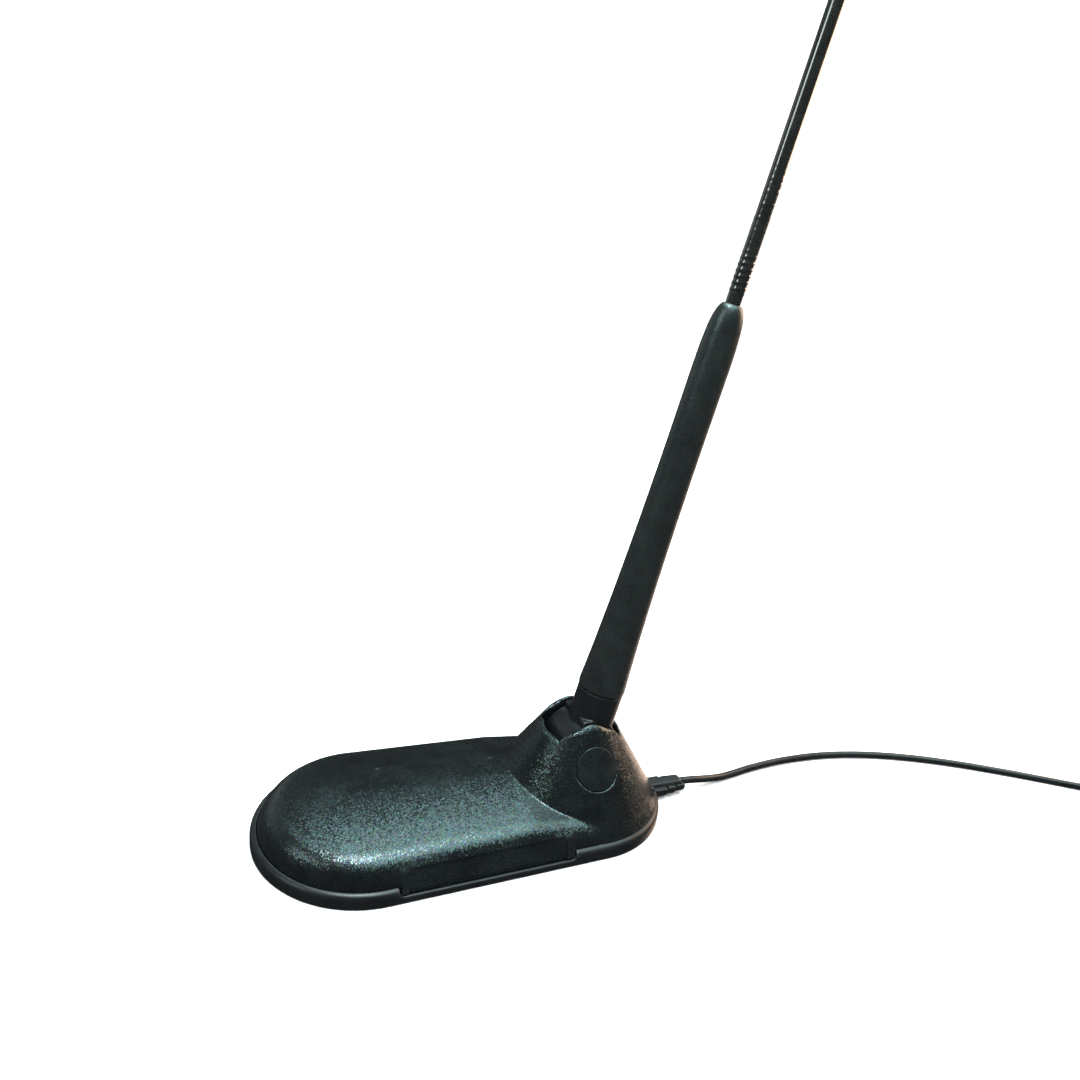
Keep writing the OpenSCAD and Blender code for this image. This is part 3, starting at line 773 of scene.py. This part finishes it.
def boot_field(x, y, z):
    """A flange inside the wall, a neck through it, and a flat-topped bar with ribs below."""
    away = np.hypot(y - BOOT_Y, z - BOOT_Z)
    f = box_field(x, y, z, (FLANGE_X, -10.4, NECK_LOW), (FLANGE_END, 0.4, 7.2), 0.3)
    f = np.minimum(f, box_field(x, y, z, (65.4, -9.4, NECK_LOW), (70.6, -0.6, 8), 0.4))
    f = np.minimum(f, box_field(x, y, z, (70, -9.4, NECK_LOW), (73.3, -0.6, RIB_TOP), 0.4))
    slanted_end = (x - BAR[1] + 0.6 * (z - 3.4)) * 0.86
    for x0, x1, r in (BAR, *RIBS):
        part = smax(away - r, np.abs(x - (x0 + x1) / 2) - (x1 - x0) / 2, 0.35)
        part = smax(part, slanted_end if r == BAR[2] else z - RIB_TOP, 0.35)
        f = np.minimum(f, part)
    f = smax(f, np.where(x < NECK_END, NECK_LOW, 0.5) - z, 0.3)
    f = np.where(x > OUTSIDE_X, smax(f, z - BAR_TOP, 0.3), f)
    return np.maximum(f, CORD_D / 2 + 0.03 - np.hypot(y - BOOT_Y, z - LEAD_Z))


p, quads, n = skin(boot_field, (63.8, -10.6, 0.3), (85, 2, 7.5), 0.28 * STEP_SCALE)
piece("boot", p, quads, "base", "boot_rubber", ["strain_relief"], n)

# ---------- knuckle ----------


DRUM_R, DRUM_HALF, RELIEF_R = 12.4, 7.9, 10.2
BOSS_R, BOSS_S = 8.2, 6.2
STUD_R, STUD_S, STUD_HEAD_R, STUD_HEAD_S, STUD_HEAD_HALF = 3.02, 4.95, 4.45, 6, 1.05
STRIP_R, STRIP_HALF, STRIP_REACH = 11.5, 2.05, 11


def knuckle_field(x, y, z):
    """Drum and boss in the tilting frame, less the bolt, the stud and the contact strip."""
    away = np.hypot(x, z)
    drum = smax(away - DRUM_R, np.abs(y) - DRUM_HALF, 0.8)
    axis = np.hypot(x - MAST_OFF, y)
    relief = np.maximum(np.maximum(x + 5, -3 - z), RELIEF_R - away)
    drum = smax(drum, -relief, 0.4)
    boss = smax(axis - BOSS_R, np.maximum(z - SEAM_S, BOSS_S - z), 0.3)
    f = np.maximum(smin(drum, boss, 0.5), BOLT_R - away)
    f = np.maximum(f, -np.maximum(axis - STUD_R, STUD_S - z))
    head = np.maximum(axis - STUD_HEAD_R, np.abs(z - STUD_HEAD_S) - STUD_HEAD_HALF)
    f = np.maximum(f, -head)
    strip = np.maximum(STRIP_R - away, np.abs(y) - STRIP_HALF)
    strip = np.maximum(strip, np.maximum(z + 5, np.abs(x) - STRIP_REACH))
    return smax(f, -strip, 0.1)


p, quads, n = skin(knuckle_field, (-13, -8.5, -13), (13, 8.5, 22), 0.36 * STEP_SCALE)
n = on_hinge(n) - PIVOT
piece("knuckle_skin", on_hinge(p), quads, "knuckle", "knuckle_plastic", ["hinge_knuckle"], n)

# ---------- mast and whip ----------

SLEEVE = [
    (8.2, 21.9), (8.4, 22.1), (8.45, 22.8), (8.38, 24.5), (8.2, 27), (7.55, 40), (7.05, 54),
    (6.65, 68), (6.35, 82), (6.2, 94), (6.05, 106), (6, 118), (5.95, 142), (5.75, 147),
    (5.4, 152), (4.9, 155), (4.2, 157.3), (3.4, 158.6), (2.9, 158.95), (2.56, 159),
]
SLEEVE_BORE = [(2.56, 152.2), (4.4, 152.2), (4.4, 41.1), (5.55, 41), (5.55, 21.9)]
SLEEVE_RINGS = 260
outer = rounded(SLEEVE, 3)
rings = np.linspace(0, len(outer) - 1, SLEEVE_RINGS)
profile = [np.interp(rings, np.arange(len(outer)), outer[:, i]) for i in (0, 1)]
profile = [*zip(*profile), *SLEEVE_BORE]
lathe("sleeve", profile, on_mast, "whip", "sleeve_rubber", ["mast_sleeve"], 128)

WHIP_R, WHIP_BORE, ROD_ROOM = 2.42, 2.0, 1.26
BUMP_FROM, BUMP_PITCH = 162.5, 1.97
BUMP, FAINT_BUMP = 0.16, 0.035
SHEATH_FROM, SHEATH_STEP_S, SHEATH_TO = 153, 186, TIP_S - 4.3


def bumps(r, s, t):
    """The loading wire under the sheath: a helix that shows above the sleeve and fades out."""
    phase = (s - BUMP_FROM) / BUMP_PITCH - t / (2 * np.pi)
    fade = soft_step((s - BUMP_FROM + 1) / 2) * (1 - soft_step((s - 171.5) / 5))
    faint = soft_step((s - 172) / 4) * (1 - soft_step((s - 192) / 14))
    wave = 0.5 + 0.5 * np.cos(2 * np.pi * phase)
    uneven = 0.6 + 0.4 * np.sin(s * 1.7)
    height = BUMP * fade * wave**1.5 + FAINT_BUMP * faint * wave * uneven
    return np.where(r > WHIP_BORE + 0.2, height, 0)


rise = [SHEATH_FROM, *np.arange(158, 215, 0.2), *np.arange(216, SHEATH_TO, 6), SHEATH_TO]
sheath = [(WHIP_R, s) for s in rise]
sheath += [(ROD_ROOM, SHEATH_TO), (ROD_ROOM, SHEATH_STEP_S + 0.2)]
sheath += [(WHIP_BORE, SHEATH_STEP_S), (WHIP_BORE, SHEATH_FROM)]
lathe("sheath", sheath, on_mast, "whip", "sheath_plastic", ["whip_sheath"], 48, bumps)

tip = [(2.5, TIP_S - 10), (2.9, TIP_S - 10), (3.0, TIP_S - 9.7), (3.0, TIP_S - 3)]
tip += [(3 * math.cos(a), TIP_S - 3 + 3 * math.sin(a)) for a in np.linspace(0.1, 1.53, 14)]
tip += [(0.02, TIP_S), (0.02, TIP_S - 4.1), (2.5, TIP_S - 4.1)]
lathe("tip", tip, on_mast, "whip", "sheath_plastic", ["tip_cap"], 64)

# ---------- plug and tie ----------


def on_plug(p):
    """From the plug's frame, with z to the mating end, to the model's frame."""
    x, y, z = np.asarray(p, float).T
    end_x, end_y, end_z = TAIL[-1]
    return on_coil(np.stack([end_x - z, y + end_y, x + end_z], 1))


RIB_PITCH = 0.9
RIB = [(2.58, 0.5), (2.58, 0.9), (2.3, 1.0), (2.3, 1.3)]
boot = [(2.1, 0.05), (2.5, 0.15)]
boot += [(r, s + i * RIB_PITCH) for i in range(6) for r, s in RIB]
boot += [(2.6, 6.0), (2.6, 10.5), (2.5, 10.8), (1.95, 10.8), (1.95, 4), (1.45, 4), (1.45, 0.05)]
lathe("plug_boot", boot, on_plug, "base", "boot_rubber", ["plug_sleeve"], 48)

barrel = [(1.9, 4.1), (1.9, 11), (3.0, 11), (3.2, 11.2), (3.2, 15.3), (3.0, 15.5), (2.3, 15.5)]
barrel += [(2.3, 19.3), (2.2, 19.5), (2.05, 19.5), (2.05, 12.5), (0.6, 12.5), (0.6, 9)]
barrel += [(0.62, 4.1)]
lathe("plug_barrel", barrel, on_plug, "base", "plug_metal", ["plug_body"], 64)


NUT_SIDES, NUT_FLAT, HEX_LEAST = 120, 3.98, 3.5
NUT_OUTSIDE = [
    (3.3, 13.2), (3.9, 13.2), (4.15, 13.32), (4.6, 13.65), (4.6, 18.6), (4.15, 18.95),
    (3.85, 19.05), (3.85, 20.6), (3.7, 20.8), (3.3, 20.8),
]
THREAD = [((3.05, 3.25)[i % 2], z) for i, z in enumerate(np.arange(20.6, 15.7, -0.25))]
THREAD_END = [(3.05, 15.6), (3.3, 15.6)]


def nut_points():
    """A hex nut with chamfered corners and a threaded bore."""
    a = np.linspace(0, 2 * np.pi, NUT_SIDES, endpoint=False)
    hexed = NUT_FLAT / np.cos((a + math.pi / 6) % (math.pi / 3) - math.pi / 6)
    rings = []
    for radius, z in (*NUT_OUTSIDE, *THREAD, *THREAD_END):
        r = np.minimum(hexed, radius) if radius > HEX_LEAST else np.full(NUT_SIDES, radius)
        rings.append(np.stack([r * np.sin(a), r * np.cos(a), np.full(NUT_SIDES, z)], 1))
    n, faces = NUT_SIDES, []
    for i in range(len(rings)):
        j = (i + 1) % len(rings)
        for k in range(n):
            k1 = (k + 1) % n
            faces.append((i * n + k, j * n + k, j * n + k1, i * n + k1))
    return np.concatenate(rings), faces


p, faces = nut_points()
crisp(piece("plug_ring", on_plug(p), faces, "coupling_nut", "plug_metal", ["plug_nut"]), 25)


TIE_IN, TIE_OUT, TIE_LOW, TIE_HIGH, TIE_BEND, TIE_TURN = 5.3, 26.69, 0.65, 12.16, 1.3, 60
TIE_SECTION = [(-1.5, 0.0), (-1.5, 0.45), (-1.2, 0.6), (1.2, 0.6), (1.5, 0.45), (1.5, 0.0)]


def tie_points():
    """A strap round the coil's section."""
    near, far = TIE_IN + TIE_BEND, TIE_OUT - TIE_BEND
    low, high = TIE_LOW + TIE_BEND, TIE_HIGH - TIE_BEND
    points = []
    for cx, cz, start in ((far, low, -90), (far, high, 0), (near, high, 90), (near, low, 180)):
        for a in np.radians(np.linspace(start, start + 90, 7)):
            for v, out in TIE_SECTION:
                r = TIE_BEND + out
                points.append((cx + math.cos(a) * r, v, cz + math.sin(a) * r))
    m, faces = len(TIE_SECTION), []
    n = len(points) // m
    for i in range(n):
        for k in range(m):
            a, b, k1 = i * m, (i + 1) % n * m, (k + 1) % m
            faces.append((a + k, b + k, b + k1, a + k1))
    return points, faces


p, faces = tie_points()
p = on_coil(p, COIL_END + TIE_TURN)
crisp(piece("tie_strap", p, faces, "base", "white_nylon", ["cable_tie"]), 30)

# ---------- CAD parts that keep their own mesh ----------

KEPT = {
    "pad_rubber": ["housing_gasket", "mast_seal"],
    "ferrite": ["front_magnet", "rear_magnet"],
    "zinc_steel": [
        "yoke_plate", "tray_screws", "board_screws", "hinge_bolt", "hinge_nut", "hinge_washers",
    ],
    "board": ["circuit_board"],
    "copper": ["matching_coil", "loading_coil", "whip_winding", "link_wire"],
    "brass": [
        "feed_strap", "contact_pin", "contact_strip", "mast_stud", "mast_insert", "coil_coupler",
    ],
    "ceramic": ["capacitors"],
    "cable_jacket": ["inner_cable"],
    "white_nylon": ["cable_clamp", "friction_washers"],
    "fibreglass": ["coil_core", "whip_rod"],
    "ptfe": ["plug_insulator"],
    "gold_pin": ["plug_pin"],
}
for slot, names in KEPT.items():
    for name in names:
        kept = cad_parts[name]
        kept.data.materials.clear()
        kept.data.materials.append(FINISH[slot])
        kept.data.shade_smooth()
        crisp(kept, 30)

# ---------- floor and light ----------

FLOOR_HALF = 14


def floor_finish():
    """A plain pale floor, slightly uneven in its roughness."""
    made = bpy.data.materials.new("floor")
    made.use_nodes = True
    tree = made.node_tree
    shader = tree.nodes["Principled BSDF"]
    place = node(tree, "ShaderNodeTexCoord").outputs["Object"]
    shader.inputs["Base Color"].default_value = (0.7, 0.7, 0.7, 1)
    tree.links.new(spread(tree, noise(tree, place, 0.02), 0.75, 0.85), shader.inputs["Roughness"])
    shader.inputs["Specular IOR Level"].default_value = 0.1
    return made


floor_mesh = bpy.data.meshes.new("floor")
corners = [(FLOOR_HALF * i, FLOOR_HALF * j, 0) for i, j in ((-1, -1), (1, -1), (1, 1), (-1, 1))]
floor_mesh.from_pydata(corners, [], [(0, 1, 2, 3)])
floor = bpy.data.objects.new("floor", floor_mesh)
bpy.context.scene.collection.objects.link(floor)
floor_mesh.materials.append(floor_finish())
floor.visible_glossy = False

# Where each light is and what it faces, in metres, its size, radiance and colour.
LIGHTS = {
    "overhead": ((0.22, 0.03, 0.85), (0.22, 0.03, 0), (0.85, 1.12), 6.4, (0.72, 1.0, 1.0)),
    "spot": ((-0.06, -0.03, 0.9), (-0.05, -0.03, 0), (0.2, 0.2), 66, (0.93, 1.0, 1.0)),
    "warm_side": ((1.0, 0.15, 0.48), (0, 0, 0.05), (0.7, 0.68), 7.0, (1.0, 0.68, 0.48)),
    "back_left": ((-0.55, 1.0, 0.35), (0, 0, 0.05), (0.9, 0.6), 0.5, (0.9, 1.0, 0.95)),
    "left": ((-0.87, -0.09, 0.74), (0.07, 0, 0.18), (0.28, 0.38), 10.5, (0.86, 1.0, 0.94)),
}


def softbox(name, at, towards, size, radiance, colour):
    """A rectangular light of that radiance."""
    data = bpy.data.lights.new(name, "AREA")
    data.shape = "RECTANGLE"
    data.size, data.size_y = size
    data.energy = radiance * math.pi * size[0] * size[1]
    data.color = colour
    made = bpy.data.objects.new(name, data)
    bpy.context.scene.collection.objects.link(made)
    back = np.array(at) - np.array(towards)
    back = back / np.linalg.norm(back)
    side = np.cross((0, 1, 0) if abs(back[2]) > 0.9 else (0, 0, 1), back)
    side /= np.linalg.norm(side)
    turn = Matrix((side, np.cross(back, side), back)).transposed().to_4x4()
    made.matrix_world = Matrix.Translation(at) @ turn


for name, light in LIGHTS.items():
    softbox(name, *light)

# The surroundings are white, dim in reflections, and have a warm patch there that stands for
# the table behind the tail. near is how close a reflection comes to its direction.
WORLD_LIGHT, WORLD_REFLECTED = 1.6, 0.06
BOUNCE, BOUNCE_COLOUR, BOUNCE_FROM = 2.3, (1.0, 0.72, 0.55, 1), (0.70, 0.52, -0.49)

world = bpy.data.worlds.new("studio")
bpy.context.scene.world = world
world.use_nodes = True
tree = world.node_tree
back = tree.nodes["Background"]
back.inputs["Color"].default_value = (1, 1, 1, 1)
seen = node(tree, "ShaderNodeLightPath").outputs["Is Glossy Ray"]
strength = spread(tree, seen, WORLD_LIGHT, WORLD_REFLECTED, 0.0, 1.0)
tree.links.new(strength, back.inputs["Strength"])
aim = {0: node(tree, "ShaderNodeTexCoord").outputs["Generated"], 1: BOUNCE_FROM}
near = node(tree, "ShaderNodeVectorMath", aim, operation="DOT_PRODUCT").outputs["Value"]
bounce = maths(tree, "MULTIPLY", spread(tree, near, 0.0, BOUNCE, 0.88, 0.98), seen)
warm = node(tree, "ShaderNodeBackground", {"Color": BOUNCE_COLOUR, "Strength": bounce})
both = node(tree, "ShaderNodeAddShader", {0: back.outputs[0], 1: warm.outputs[0]})
tree.links.new(both.outputs[0], tree.nodes["World Output"].inputs["Surface"])

view = bpy.context.scene.view_settings
view.view_transform = "Standard"
view.look = "None"
